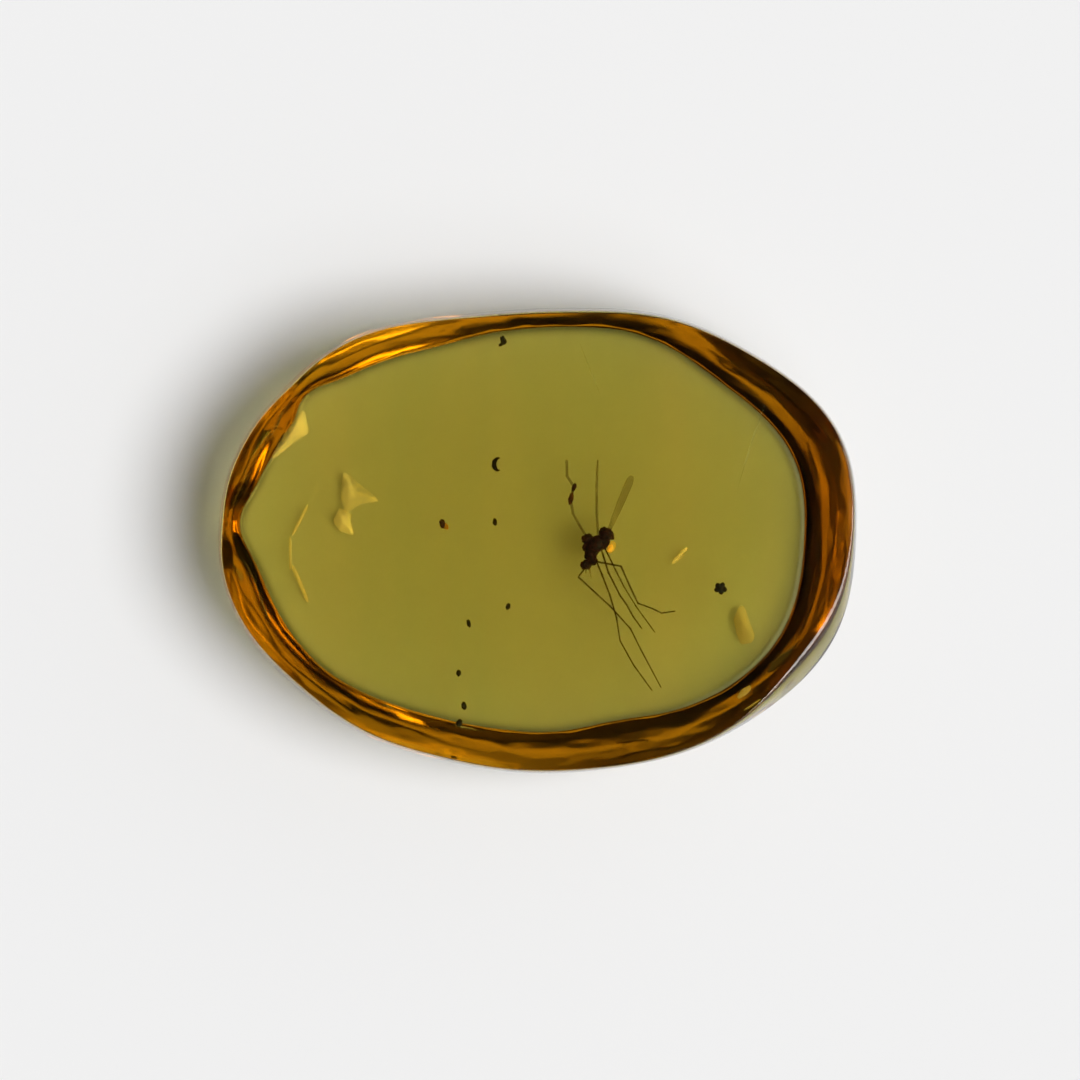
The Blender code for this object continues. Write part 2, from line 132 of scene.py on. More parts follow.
class Spoke:
    """The stone's profile at one angle: edge, foot of the bevel, heights."""

    def __init__(self, angle):
        self.angle = angle
        self.edge = outline(angle)
        self.foot = (self.edge - around(BEVEL_WIDTHS, angle)
                     - sum(swell(angle, *n) for n in NARROWINGS))
        self.steep = math.tan(math.radians(around(FOOT_SLOPES, angle)))
        self.easy = math.tan(math.radians(around(EDGE_SLOPES, angle)))
        self.fall = around(SLOPE_FALL, angle) + 1
        self.blend = FOOT_BLEND + swell(angle, *FOOT_BLEND_MORE)
        self.lean = math.radians(WALL_LEAN + swell(angle, LEAN_AZIMUTH,
                                                   WALL_LEAN_MORE, LEAN_SPREAD))
        self.girdle = self.lower(self.edge)

    def lower(self, radius):
        """Height of the underside, with the bevel and the round of the girdle."""
        share = math.hypot(radius * math.cos(self.angle) / UNDER_HALF[0],
                           radius * math.sin(self.angle) / UNDER_HALF[1])
        base = UNDER_SAG * max(0.0, (share - UNDER_FLAT) / (1 - UNDER_FLAT)) ** 2
        width, out = self.edge - self.foot, radius - self.foot
        bevel = self.steep * out
        if out >= 0:
            bevel = self.easy * out + ((self.steep - self.easy) * width / self.fall
                                       * (1 - max(0.0, 1 - out / width) ** self.fall))
        z = smooth_max(base, bevel, self.blend)
        inset = self.edge - radius
        if out > -RIPPLE_LEAD:
            fade = (min(1, (out + RIPPLE_LEAD) / RIPPLE_IN)
                    * min(1, max(0, inset / RIPPLE_OUT)))
            z += 2 * RIPPLE * fade * noise.noise(Vector((
                inset / RIPPLE_ACROSS, RIPPLE_ROUND * math.cos(self.angle),
                RIPPLE_ROUND * math.sin(self.angle))))
        t = max(0.0, 1 - inset / GIRDLE_ROUND)
        return z + GIRDLE_RISE * (1 - math.sqrt(max(0.0, 1 - t * t)))

    def upper(self, radius):
        """Height of the top: the leaning wall and the low dome, blended."""
        wall = self.girdle + (self.edge - radius) / math.tan(self.lean)
        cap = CAP_HEIGHT + DOME * (1 - (radius / self.edge) ** 2)
        return -smooth_max(-wall, -cap, SHOULDER)


def at_pixel(px, py, z):
    """A point seen straight down at a pixel of the frame, at a height in mm."""
    return Vector(((px - STONE_PX[0]) * PX, (STONE_PX[1] - py) * PX, z)) * MM


# ------------------------------------------------------------------- helpers
def link(name, data):
    ob = bpy.data.objects.new(name, data)
    bpy.context.scene.collection.objects.link(ob)
    return ob


def piece(name, bm, materials, nodes):
    """A finished mesh that rides on the stone's body in place of CAD nodes."""
    mesh = bpy.data.meshes.new(name)
    bm.to_mesh(mesh)
    bm.free()
    mesh.shade_smooth()
    for mat in materials:
        mesh.materials.append(mat)
    ob = link(name, mesh)
    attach(ob, 'root')
    if nodes:
        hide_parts(*nodes)


def fill_ramp(node, stops):
    """Set a colour ramp's stops, each a position and a colour."""
    ramp = node.color_ramp
    while len(ramp.elements) < len(stops):
        ramp.elements.new(0.5)
    for element, (pos, value) in zip(ramp.elements, stops):
        element.position = pos
        element.color = (*value, 1)


class Shader:
    """A material with short ways to add texture nodes."""

    def __init__(self, name, **values):
        self.mat = bpy.data.materials.new(name)
        self.mat.use_nodes = True
        self.tree = self.mat.node_tree
        self.bsdf = self.tree.nodes['Principled BSDF']
        self.out = self.tree.nodes['Material Output']
        self.coord = self.tree.nodes.new('ShaderNodeTexCoord')
        for key, value in values.items():
            self.bsdf.inputs[key.replace('_', ' ')].default_value = value

    def noise(self, scale, detail=4.0, stretch=(1, 1, 1)):
        """A noise in the object's own coordinates, in waves to the metre."""
        place = self.tree.nodes.new('ShaderNodeMapping')
        place.inputs['Scale'].default_value = stretch
        node = self.tree.nodes.new('ShaderNodeTexNoise')
        node.inputs['Scale'].default_value = scale
        node.inputs['Detail'].default_value = detail
        node.inputs['Roughness'].default_value = 0.55
        self.tree.links.new(self.coord.outputs['Object'], place.inputs['Vector'])
        self.tree.links.new(place.outputs['Vector'], node.inputs['Vector'])
        return node.outputs['Fac']

    def colour(self, fac, *stops):
        node = self.tree.nodes.new('ShaderNodeValToRGB')
        fill_ramp(node, stops)
        self.tree.links.new(fac, node.inputs['Fac'])
        self.tree.links.new(node.outputs['Color'], self.bsdf.inputs['Base Color'])

    def rough(self, fac, low, high):
        node = self.tree.nodes.new('ShaderNodeMapRange')
        node.inputs['To Min'].default_value = low
        node.inputs['To Max'].default_value = high
        self.tree.links.new(fac, node.inputs['Value'])
        self.tree.links.new(node.outputs['Result'], self.bsdf.inputs['Roughness'])

    def bump(self, height, distance):
        node = self.tree.nodes.new('ShaderNodeBump')
        node.inputs['Distance'].default_value = distance
        self.tree.links.new(height, node.inputs['Height'])
        self.tree.links.new(node.outputs['Normal'], self.bsdf.inputs['Normal'])


def grainy(name, dark, light, scale=9000, rough=(0.45, 0.8), **values):
    """A dull mottled material for cuticle and debris."""
    sh = Shader(name, Specular_IOR_Level=0.3, **values)
    sh.colour(sh.noise(scale), (0.35, dark), (0.68, light))
    sh.rough(sh.noise(scale * 1.7, 3.0), *rough)
    sh.bump(sh.noise(scale * 2.5), 0.00001)
    return sh.mat


# ------------------------------------------------------------------ the stone
# Marks on the mesh that its material reads: the wall of a hollow, how golden it
# is, the painted shade at the bevel's foot, and roughness.
MARKS = ('flake', 'gold', 'painted_shade', 'matt')
# The last two change near the foot over this width. In that width: how far
# inside the foot roughness starts, and how far outside it the painted shade is darkest.
FOOT_BAND_WIDTH, MATT_LEAD, PAINTED_SHADE_PEAK = 0.3, 0.4, 0.3


def add_stone(bm):
    """The outside of the stone, in rings from the girdle up and down."""
    spokes = [Spoke(2 * math.pi * k / COLUMNS) for k in range(COLUMNS)]
    for name in MARKS:
        bm.verts.layers.float.new(name)
    matt, painted_shade = bm.verts.layers.float['matt'], bm.verts.layers.float['painted_shade']

    def ring(radius_of, upper):
        row = []
        for s in spokes:
            r = radius_of(s)
            z = s.upper(r) if upper else s.lower(r)
            v = bm.verts.new(((r * math.cos(s.angle) - MIDDLE[0]) * MM,
                              (r * math.sin(s.angle) - MIDDLE[1]) * MM,
                              max(0.0, z) * MM))
            past = (r - s.foot) / FOOT_BAND_WIDTH
            v[matt] = 0.0 if upper else MATT * min(1.0, max(0.0, past + MATT_LEAD))
            # painted shade: a darker tint, strongest just outside the bevel's foot
            v[painted_shade] = 0.0 if upper else math.exp(-(past - PAINTED_SHADE_PEAK) ** 2)
            row.append(v)
        return row

    girdle = ring(lambda s: s.edge, False)
    top, base = [girdle], [girdle]
    for i in range(1, SHOULDER_RINGS + 1):
        inset = SHOULDER_REACH * (i / SHOULDER_RINGS) ** 2
        top.append(ring(lambda s: s.edge - inset, True))
    for t in TOP_SHARES:
        top.append(ring(lambda s: (s.edge - SHOULDER_REACH) * t, True))
    for i in range(1, GIRDLE_RINGS + 1):
        inset = GIRDLE_ROUND * (i / GIRDLE_RINGS) ** 1.7
        base.append(ring(lambda s: s.edge - inset, False))
    for i in range(1, BEVEL_RINGS + 1):
        t = i / BEVEL_RINGS
        base.append(ring(lambda s: (s.edge - GIRDLE_ROUND) * (1 - t)
                         + (s.foot - FOOT_MARGIN) * t, False))
    for t in BASE_SHARES:
        base.append(ring(lambda s: (s.foot - FOOT_MARGIN) * t, False))
    for rows, upper in ((top, True), (base, False)):
        middle = spokes[0].upper(0.0) if upper else 0.0
        centre = bm.verts.new((-MIDDLE[0] * MM, -MIDDLE[1] * MM, middle * MM))
        for outer, inner in zip(rows, rows[1:]):
            for k in range(COLUMNS):
                j = (k + 1) % COLUMNS
                face = (outer[k], outer[j], inner[j], inner[k])
                bm.faces.new(face if upper else face[::-1])
        for k in range(COLUMNS):
            face = (rows[-1][k], rows[-1][(k + 1) % COLUMNS], centre)
            bm.faces.new(face if upper else face[::-1])


def oval(px, py, length, width, turn):
    """Pixel outline of an oval: half length, half width, turn in degrees."""
    c, w = math.cos(math.radians(turn)), math.sin(math.radians(turn))
    out = []
    for k in range(20):
        x, y = length * math.cos(math.pi * k / 10), width * math.sin(math.pi * k / 10)
        out.append((px + x * c - y * w, py - x * w - y * c))
    return out


def reach(plan, angle):
    """How far a star-shaped outline about the origin reaches at an angle."""
    way = Vector((math.cos(angle), math.sin(angle)))
    best = 0.01
    for p, q in zip(plan, plan[1:] + plan[:1]):
        edge = q - p
        cross = way.x * edge.y - way.y * edge.x
        if abs(cross) > 1e-9:
            t = (p.x * edge.y - p.y * edge.x) / cross
            u = (p.x * way.y - p.y * way.x) / cross
            if t > 0 and -1e-6 <= u <= 1 + 1e-6:
                best = max(best, t)
    return best


def add_void(bm, pixels, z, thick, lean, rough, golden, seed):
    """A thin lens-shaped hollow in the amber, wound so that its faces look
    inwards; lean is its tilt and the azimuth it is tilted towards."""
    sides, rings = 72, 12
    marks = bm.verts.layers.float
    matt, flake, gold = marks['matt'], marks['flake'], marks['gold']
    points = [at_pixel(x, y, 0) / MM for x, y in pixels]
    middle = sum(points, Vector()) / len(points)
    plan = [(p - middle).to_2d() for p in points]
    tilt, towards = (math.radians(v) for v in lean)
    place = Matrix.Translation(Vector((middle.x, middle.y, z)) * MM) @ Matrix.Rotation(
        tilt, 4, Vector((-math.sin(towards), math.cos(towards), 0)))
    angles = [2 * math.pi * k / sides for k in range(sides)]
    spans = [reach(plan, a) for a in angles]
    spans = [(spans[k - 1] + 2 * spans[k] + spans[(k + 1) % sides]) / 4
             for k in range(sides)]

    def point(share, k, side):
        x = spans[k] * share * math.cos(angles[k])
        y = spans[k] * share * math.sin(angles[k])
        lift = side * thick * (1 - share * share)
        lift += HOLLOW_WAVE * noise.noise(Vector((x * 4, y * 4, seed)))
        v = bm.verts.new(place @ (Vector((x, y, lift)) * MM))
        v[matt], v[flake], v[gold] = rough, 1.0, golden
        return v

    rim = [point(1.0, k, 0) for k in range(sides)]
    for side in (1, -1):
        rows = [rim]
        for i in range(1, rings):
            share = math.cos(math.pi / 2 * i / rings)
            rows.append([point(share, k, side) for k in range(sides)])
        tip = point(0.0, 0, side)
        for outer, inner in zip(rows, rows[1:]):
            for k in range(sides):
                j = (k + 1) % sides
                face = (outer[k], outer[j], inner[j], inner[k])
                bm.faces.new(face[::-1] if side > 0 else face)
        for k in range(sides):
            face = (rows[-1][k], rows[-1][(k + 1) % sides], tip)
            bm.faces.new(face[::-1] if side > 0 else face)


HOLLOW_WAVE = 0.012              # how uneven a hollow's walls are
# Hollows: outline in pixels, height, half thickness, tilt and its azimuth,
# roughness, and how golden. A tilt of 10 towards -12 faces the key light.
KEY, BOTH, FILL = (10.35, -12), (11.4, -30), (12.8, -46)
HOLLOWS = (
    (oval(611.0, 547.0, 6.4, 4.4, 70), 2.45, 0.03, KEY, 0.07, 0.8),
    (oval(610.0, 548.5, 5.0, 3.4, 60), 2.25, 0.03, KEY, 0.07, 0.8),
    (((343, 472), (349, 475), (363, 487), (382, 502), (362, 504), (346, 514),
      (341, 498)), 0.45, 0.07, BOTH, 0.15, 0.15),
    (((340, 508), (352, 514), (351, 522), (355, 536), (340, 531), (333, 521)),
     0.45, 0.05, KEY, 0.13, 0.20),
    (oval(679.5, 555.5, 11.5, 2.9, 46), 0.55, 0.02, BOTH, 0.12, 0.25),
    (((743, 604), (748, 618), (755, 635), (752, 642), (741, 644), (736, 632),
      (733, 618), (738, 606)), 0.45, 0.05, FILL, 0.24, 0.40),
    (((304, 408), (310, 433), (290, 447), (267, 465), (283, 437)),
     0.80, 0.06, KEY, 0.16, 0.25),
    (oval(300.5, 520, 22, 1.6, 63), 0.60, 0.015, BOTH, 0.26, 0.42),
    (oval(290.5, 553, 22, 1.5, 91), 0.80, 0.015, BOTH, 0.32, 0.42),
    (oval(300.5, 583, 26, 2.0, 114), 0.55, 0.015, BOTH, 0.22, 0.42),
)


# Hairline fissures near the top: pixels and height of the points along each.
FISSURES = (((764, 405, 4.6), (750, 446, 4.5), (736, 492, 4.4)),
            ((580, 345, 4.2), (590, 370, 4.2), (600, 395, 4.1)))
FISSURE_RADIUS = 0.014


def smooth_path(points, steps):
    """Points along a smooth curve through the given ones."""
    pts = [Vector(p) for p in points]
    pts = [pts[0] * 2 - pts[1]] + pts + [pts[-1] * 2 - pts[-2]]
    out = []
    for a, b, c, d in zip(pts, pts[1:], pts[2:], pts[3:]):
        for i in range(steps):
            t = i / steps
            out.append(0.5 * (2 * b + (c - a) * t + (2 * a - 5 * b + 4 * c - d) * t ** 2
                              + (3 * b - a - 3 * c + d) * t ** 3))
    return out + [pts[-2]]


def add_tube(bm, path, radius_at, sides=8, inward=False, index=0):
    """A closed tube along a path; inward turns its faces in, for a hollow."""
    rows, last = [], len(path) - 1
    for i, p in enumerate(path):
        along = (path[min(i + 1, last)] - path[max(i - 1, 0)]).normalized()
        side = along.cross(Vector((0, 0, 1))).normalized()
        up = side.cross(along).normalized()
        r = radius_at(i / last)
        rows.append([bm.verts.new((p + side * r * math.cos(2 * math.pi * k / sides)
                                   + up * r * math.sin(2 * math.pi * k / sides)) * MM)
                     for k in range(sides)])
    ends = [bm.verts.new(path[0] * MM), bm.verts.new(path[-1] * MM)]
    faces = []
    for a, b in zip(rows, rows[1:]):
        for k in range(sides):
            j = (k + 1) % sides
            faces.append((a[k], b[k], b[j], a[j]))
    for k in range(sides):
        j = (k + 1) % sides
        faces.append((ends[0], rows[0][k], rows[0][j]))
        faces.append((ends[1], rows[-1][j], rows[-1][k]))
    for face in faces:
        bm.faces.new(face[::-1] if inward else face).material_index = index


def build_amber():
    """The whole clear stone as one mesh, in place of its two halves."""
    bm = bmesh.new()
    add_stone(bm)
    for n, hollow in enumerate(HOLLOWS):
        add_void(bm, *hollow, seed=1.7 * n)
    for line in FISSURES:
        add_tube(bm, smooth_path([at_pixel(*p) / MM for p in line], 8),
                 lambda t: FISSURE_RADIUS * (0.15 + 0.85 * math.sin(math.pi * t)),
                 inward=True)

    sh = Shader('clear_amber', Transmission_Weight=1.0, IOR=AMBER_IOR, Roughness=0.0)
    bands = sh.noise(260, 3.0, stretch=(1.0, 0.14, 0.5))
    sh.colour(bands, (0.3, (0.79, 0.975, 0.98)), (0.7, (0.88, 1.0, 1.0)))
    stone = sh.bsdf.inputs['Base Color'].links[0].from_socket
    marks = {}
    for name in MARKS:
        marks[name] = sh.tree.nodes.new('ShaderNodeAttribute')
        marks[name].attribute_name = name

    def blend(name, start, end, target):
        """Mix towards the colour end as far as the named mark says."""
        mix = sh.tree.nodes.new('ShaderNodeMix')
        mix.data_type = 'RGBA'
        sh.tree.links.new(marks[name].outputs['Fac'], mix.inputs['Factor'])
        mix.inputs['B'].default_value = (*end, 1)
        if isinstance(start, tuple):
            mix.inputs['A'].default_value = (*start, 1)
        else:
            sh.tree.links.new(start, mix.inputs['A'])
        sh.tree.links.new(mix.outputs['Result'], sh.bsdf.inputs[target])
        return mix.outputs['Result']

    # Painted shade: the base colour darkens along the bevel's foot.
    stone = blend('painted_shade', stone, PAINTED_SHADE_TINT, 'Base Color')
    stone = blend('flake', stone, (1.0, 1.0, 1.0), 'Base Color')
    blend('gold', stone, (1.0, 0.78, 0.25), 'Base Color')
    blend('gold', (1, 1, 1), (1.0, 0.50, 0.02), 'Specular Tint')
    sh.tree.links.new(marks['matt'].outputs['Fac'], sh.bsdf.inputs['Roughness'])
    sh.bump(sh.noise(600, 2.0), 0.000002)
    absorb = sh.tree.nodes.new('ShaderNodeVolumeAbsorption')
    peak = max(ABSORB)
    absorb.inputs['Color'].default_value = (*(1 - a / peak for a in ABSORB), 1)
    absorb.inputs['Density'].default_value = peak / MM
    sh.tree.links.new(absorb.outputs['Volume'], sh.out.inputs['Volume'])
    piece('amber_stone', bm, [sh.mat], ('amber_upper', 'amber_lower'))


# -------------------------------------------------------------------- the fly
BODY = (
    # middle, half sizes, turn, number of rings across it
    ((2.70, -0.24, 3.0), (0.55, 0.42, 0.34), 28, 0),
    ((3.26, 0.28, 3.02), (0.38, 0.29, 0.27), -28, 5),
    ((3.06, -0.10, 3.0), (0.36, 0.34, 0.26), 10, 3),
    ((2.40, 0.04, 2.98), (0.29, 0.25, 0.25), 0, 0),
    ((2.52, -0.68, 2.95), (0.29, 0.30, 0.22), 15, 0),
    ((2.29, -1.15, 2.93), (0.25, 0.22, 0.22), 0, 0),
    ((2.62, -0.96, 2.93), (0.24, 0.22, 0.22), 0, 0),
)
BODY_BRISTLES = 90
# The fly's materials, in the order its mesh has them.
CUTICLE, PALE, MEMBRANE, RED, SHIN = range(5)
# Legs: joints, radius at the start and end, and material.
LEGS = (
    (((2.35, 0.12, 3.0), (2.0, 0.69, 2.9), (1.70, 1.22, 2.75), (1.61, 1.79, 2.65),
      (1.72, 2.52, 2.6), (1.43, 2.96, 2.55), (1.41, 3.70, 2.45)), 0.046, 0.060, PALE),
    (((2.88, 0.12, 3.0), (2.82, 1.2, 2.8), (2.80, 2.5, 2.55), (2.85, 3.70, 2.3)),
     0.060, 0.042, PALE),
    (((2.35, -1.18, 2.9), (1.95, -1.72, 3.1), (3.43, -3.07, 3.5),
      (4.38, -4.12, 3.6), (4.86, -5.08, 3.55), (5.80, -6.84, 3.35)), 0.039, 0.024, SHIN),
    (((2.60, -0.50, 2.9), (3.05, -1.6, 2.7), (3.42, -2.55, 2.55),
      (3.73, -3.60, 2.45), (3.90, -4.68, 2.4), (4.53, -5.80, 2.3),
      (5.38, -6.97, 2.2)), 0.039, 0.024, SHIN),
    (((2.95, -0.20, 2.95), (3.35, -1.5, 3.05), (3.88, -2.55, 3.12),
      (4.20, -3.00, 3.15), (4.50, -3.55, 3.1), (4.90, -4.10, 3.0)), 0.041, 0.026, SHIN),
    (((3.12, -0.25, 3.0), (3.68, -1.38, 3.3), (4.07, -2.15, 3.4),
      (4.62, -3.05, 3.35), (5.50, -4.26, 3.15)), 0.034, 0.020, SHIN),
    (((2.75, -1.0, 3.0), (3.94, -1.22, 3.7), (4.33, -2.10, 3.85),
      (4.73, -2.94, 3.8), (5.44, -3.20, 3.7), (5.83, -3.40, 3.6),
      (6.45, -3.31, 3.5)), 0.040, 0.028, SHIN),
)
# Swollen joints of the raised leg: middle, half sizes, turn, material. Then the
# palps' two ends.
KNOTS = (((1.75, 2.45, 2.6), (0.10, 0.20, 0.10), -20, CUTICLE),
         ((1.61, 1.93, 2.63), (0.12, 0.29, 0.11), -12, RED))
PALPS = (((2.45, -1.25, 2.85), (2.55, -1.78, 2.75)),
         ((2.30, -1.28, 2.85), (2.30, -1.55, 2.80)))
WING_ROOT, WING_TIP = Vector((3.38, 0.45, 3.0)), Vector((4.46, 2.98, 2.6))
WING_HALF, WING_THICK = 0.19, 0.045


def add_lump(bm, middle, half, turn, rough=0.12, rings=0, seed=0.0, detail=4,
             index=0):
    """A rounded, slightly knobbly body; rings cuts grooves across its length."""
    ball = bmesh.ops.create_icosphere(bm, subdivisions=detail, radius=1.0)['verts']
    spin = Matrix.Rotation(math.radians(turn), 4, 'Z')
    for v in ball:
        d = v.co.normalized()
        r = 1 + rough * noise.noise(d * 2.1 + Vector((seed, 0, 0)))
        r += 0.35 * rough * noise.noise(d * 6.5 + Vector((0, seed, 0)))
        if rings:
            r -= 0.07 * (0.5 + 0.5 * math.cos(d.x * rings * math.pi)) ** 6
        p = spin @ Vector((d.x * half[0], d.y * half[1], d.z * half[2])) * r
        v.co = (Vector(middle) + p) * MM
    for f in {f for v in ball for f in v.link_faces}:
        f.material_index = index


def add_bristle(bm, root, way, length, thick=0.007, index=0):
    """A single short hair: a three-sided spike."""
    way = way.normalized()
    side = way.orthogonal().normalized()
    other = way.cross(side)
    foot = [bm.verts.new((root + (side * math.cos(a) + other * math.sin(a)) * thick) * MM)
            for a in (0.0, 2.094, 4.189)]
    tip = bm.verts.new((root + way * length) * MM)
    for k in range(3):
        bm.faces.new((foot[k], foot[(k + 1) % 3], tip)).material_index = index
    bm.faces.new(foot[::-1]).material_index = index


def add_leg(bm, joints, thick, thin, index, seed):
    """A leg of straight segments, each swollen a little behind its joint."""
    path, girth = [], []
    count = len(joints) - 1
    for n, (a, b) in enumerate(zip(joints, joints[1:])):
        a, b = Vector(a), Vector(b)
        for i in range(10):
            t = i / 10
            bow = 0.03 * math.sin(math.pi * t) * (b - a).length
            path.append(a.lerp(b, t) + Vector((0, 0, bow)))
            whole = (n + t) / count
            girth.append((thick + (thin - thick) * whole)
                         * (1 + 0.32 * math.exp(-(t / 0.12) ** 2)
                            + 0.14 * math.sin(math.pi * t)))
    path.append(Vector(joints[-1]))
    girth.append(thin)
    add_tube(bm, path, lambda t: girth[round(t * (len(path) - 1))], index=index)
    for i in range(4, len(path) - 1, 2):
        p = path[i]
        along = (path[i + 1] - p).normalized()
        for k in range(2):
            a = 2.4 * i + 3.1 * k + seed
            out = (along.orthogonal() * math.cos(a)
                   + along.cross(along.orthogonal()) * math.sin(a)).normalized()
            add_bristle(bm, p + out * girth[i] * 0.8, out + along * 0.9,
                        0.07 + 0.02 * math.sin(a * 3), index=index)
    for k in (-1, 1):
        along = (path[-1] - path[-2]).normalized()
        side = along.cross(Vector((0, 0, 1))) * 0.5 * k
        add_bristle(bm, path[-1], along + side, 0.07, 0.012, index)


def add_wing(bm):
    """A folded wing: a narrow pleated membrane with veins along it."""
    along = WING_TIP - WING_ROOT
    side = along.cross(Vector((0, 0, 1))).normalized()
    steps, pleats = 30, 12
    grid = {}
    for i in range(steps + 1):
        t = i / steps
        half = WING_HALF * (0.45 + 0.55 * math.sin(math.pi * min(1, t * 1.1) * 0.6))
        half *= 1 - 0.55 * max(0, (t - 0.86) / 0.14) ** 2
        for j in range(pleats + 1):
            u = j / pleats * 2 - 1
            fold = 0.016 * math.cos(j * math.pi) + 0.02 * math.sin(5 * t + 2 * u)
            for face in (1, -1):
                p = (WING_ROOT + along * t + side * half * u
                     + Vector((0, 0, fold + face * WING_THICK / 2 * (1 - u * u) ** 0.5)))
                grid[i, j, face] = bm.verts.new(p * MM)
    quads = []
    for i in range(steps):
        for j in range(pleats):
            for face in (1, -1):
                q = [grid[i, j, face], grid[i + 1, j, face], grid[i + 1, j + 1, face],
                     grid[i, j + 1, face]]
                quads.append(q if face < 0 else q[::-1])
    made = [bm.faces.new(q) for q in quads]
    for f in made:
        f.material_index = MEMBRANE
    for u in (-0.9, -0.3, 0.35, 0.9):
        vein = [WING_ROOT + along * t + side * WING_HALF * 0.85 * u
                * (0.6 + 0.4 * math.sin(t * 2)) + Vector((0, 0, 0.03))
                for t in (0.0, 0.25, 0.5, 0.75, 0.95)]
        add_tube(bm, smooth_path(vein, 5), lambda t: 0.008, sides=5, index=PALE)


def build_fly():
    """The long-legged fly, finer than the solid it replaces."""
    bm = bmesh.new()
    for n, (middle, half, turn, rings) in enumerate(BODY):
        add_lump(bm, middle, half, turn, rings=rings, seed=n * 1.3, rough=0.24)
    for n, (joints, thick, thin, index) in enumerate(LEGS):
        add_leg(bm, joints, thick, thin, index, n)
    for n, (middle, half, turn, index) in enumerate(KNOTS):
        add_lump(bm, middle, half, turn, rough=0.35, seed=5 + n, detail=3,
                 index=index)
    for start, end in PALPS:
        a, b = Vector(start), Vector(end)
        add_tube(bm, [a.lerp(b, i / 8) for i in range(9)],
                 lambda t: 0.05 * (1 - 0.6 * t) * (1 + 0.25 * math.cos(t * 25)),
                 index=PALE)
    for n in range(BODY_BRISTLES):
        middle, half, turn, _ = BODY[n % len(BODY)]
        way = Vector((math.cos(2.4 * n), math.sin(2.4 * n), 0.2 + 0.6 * math.sin(n)))
        way.normalize()
        spin = Matrix.Rotation(math.radians(turn), 3, 'Z')
        root = Vector(middle) + spin @ Vector(
            (way.x * half[0], way.y * half[1], way.z * half[2])) * 0.95
        add_bristle(bm, root, spin @ way, 0.10, 0.009)
    add_wing(bm)

    cuticle = grainy('insect_cuticle', (0.004, 0.001, 0.002), (0.050, 0.007, 0.009),
                     scale=7000, rough=(0.3, 0.6))
    pale = grainy('insect_limb', (0.10, 0.055, 0.004), (0.22, 0.13, 0.010),
                  scale=8000, Alpha=0.32)
    membrane = grainy('insect_wing', (0.30, 0.185, 0.001), (0.46, 0.30, 0.002),
                      scale=5000, rough=(0.25, 0.5), Alpha=0.24)
    shin = grainy('insect_shin', (0.03, 0.018, 0.003), (0.09, 0.055, 0.008),
                  scale=8000, Alpha=0.60)
    red = grainy('insect_knot', (0.035, 0.008, 0.002), (0.20, 0.06, 0.006), scale=8000)
    piece('fly', bm, [cuticle, pale, membrane, red, shin], ('insect',))


# ----------------------------------------------------------------- the grains
# Specks of dust: middle, half sizes, turn.
SPECKS = (
    ((-1.94, 0.84, 3.1), (0.10, 0.17, 0.10), 10),
    ((-1.33, -3.09, 2.8), (0.10, 0.15, 0.09), -15),
    ((-3.16, -3.88, 3.0), (0.09, 0.19, 0.09), 14),
    ((-3.63, -6.18, 2.7), (0.11, 0.15, 0.10), 0),
    ((-3.39, -7.72, 3.1), (0.12, 0.18, 0.09), 8),
    ((-3.60, -8.50, 2.7), (0.14, 0.17, 0.11), -20),
    ((-1.55, 9.30, 3.0), (0.13, 0.20, 0.11), 25),
)
CHIPPED, CHIP = 6, (-0.11, -0.21, 0.0)     # the speck with a chip, and where it is
ORANGE_MIDDLE = (-4.33, 0.70, 2.9)
# A small grain whose bright yellow colour is a painted glint.
GLINT_PIXEL, GLINT_HEIGHT = (744, 691), 2.3
# The crescent's curve: middle, half sizes, the azimuth it starts at, its sweep.
CRESCENT_MIDDLE, CRESCENT_HALF = (-1.77, 3.51, 3.0), (0.21, 0.29, 0.02)
CRESCENT_START, CRESCENT_SWEEP = 75, 212
# The star's middle, its lobes, and how far out they sit along X and Y.
STAR_MIDDLE, STAR_POINTS, STAR_REACH = (8.59, -2.25, 2.9), 5, (0.19, 0.18)


def beside(middle, x, y, z=0.0):
    """A point at an offset from another."""
    return middle[0] + x, middle[1] + y, middle[2] + z


def build_specks():
    """The specks of dust, each a piece of its own."""
    for n, (middle, half, turn) in enumerate(SPECKS):
        name = 'speck_%d' % (n + 1)
        bm = bmesh.new()
        add_lump(bm, middle, half, turn, rough=0.32, seed=11.3 + 2.9 * n)
        if n == CHIPPED:
            add_lump(bm, beside(middle, *CHIP), (0.12, 0.07, 0.07), 35, rough=0.4,
                     seed=3.0)
        mat = grainy(name, (0.012, 0.010, 0.004), (0.055, 0.042, 0.012))
        piece(name + '_lump', bm, [mat], (name,))


def build_grains():
    """The orange grain, and a painted glint: a bright yellow grain with no solid of its
    own.
    """
    bm = bmesh.new()
    add_lump(bm, beside(ORANGE_MIDDLE, -0.05, 0.06), (0.13, 0.21, 0.13), 12, rough=0.4,
             seed=2.2)
    add_lump(bm, beside(ORANGE_MIDDLE, 0.10, -0.06, -0.02), (0.11, 0.15, 0.10), 30,
             rough=0.4, seed=6.1, index=1)
    dark = grainy('orange_grain_dark', (0.03, 0.012, 0.003), (0.12, 0.045, 0.008))
    gold = grainy('orange_grain_side', (0.55, 0.24, 0.012), (0.85, 0.42, 0.03))
    piece('orange_grain_lump', bm, [dark, gold], ('orange_grain',))

    bm = bmesh.new()
    add_lump(bm, at_pixel(*GLINT_PIXEL, GLINT_HEIGHT) / MM, (0.40, 0.15, 0.05), 42,
             rough=0.15, seed=4.4)
    # Painted glint: a diffuse bright yellow colour in place of a glint of light.
    spark = grainy('painted_glint_grain', (0.95, 0.60, 0.10), (1.0, 0.78, 0.25))
    piece('painted_glint_grain', bm, [spark], ())


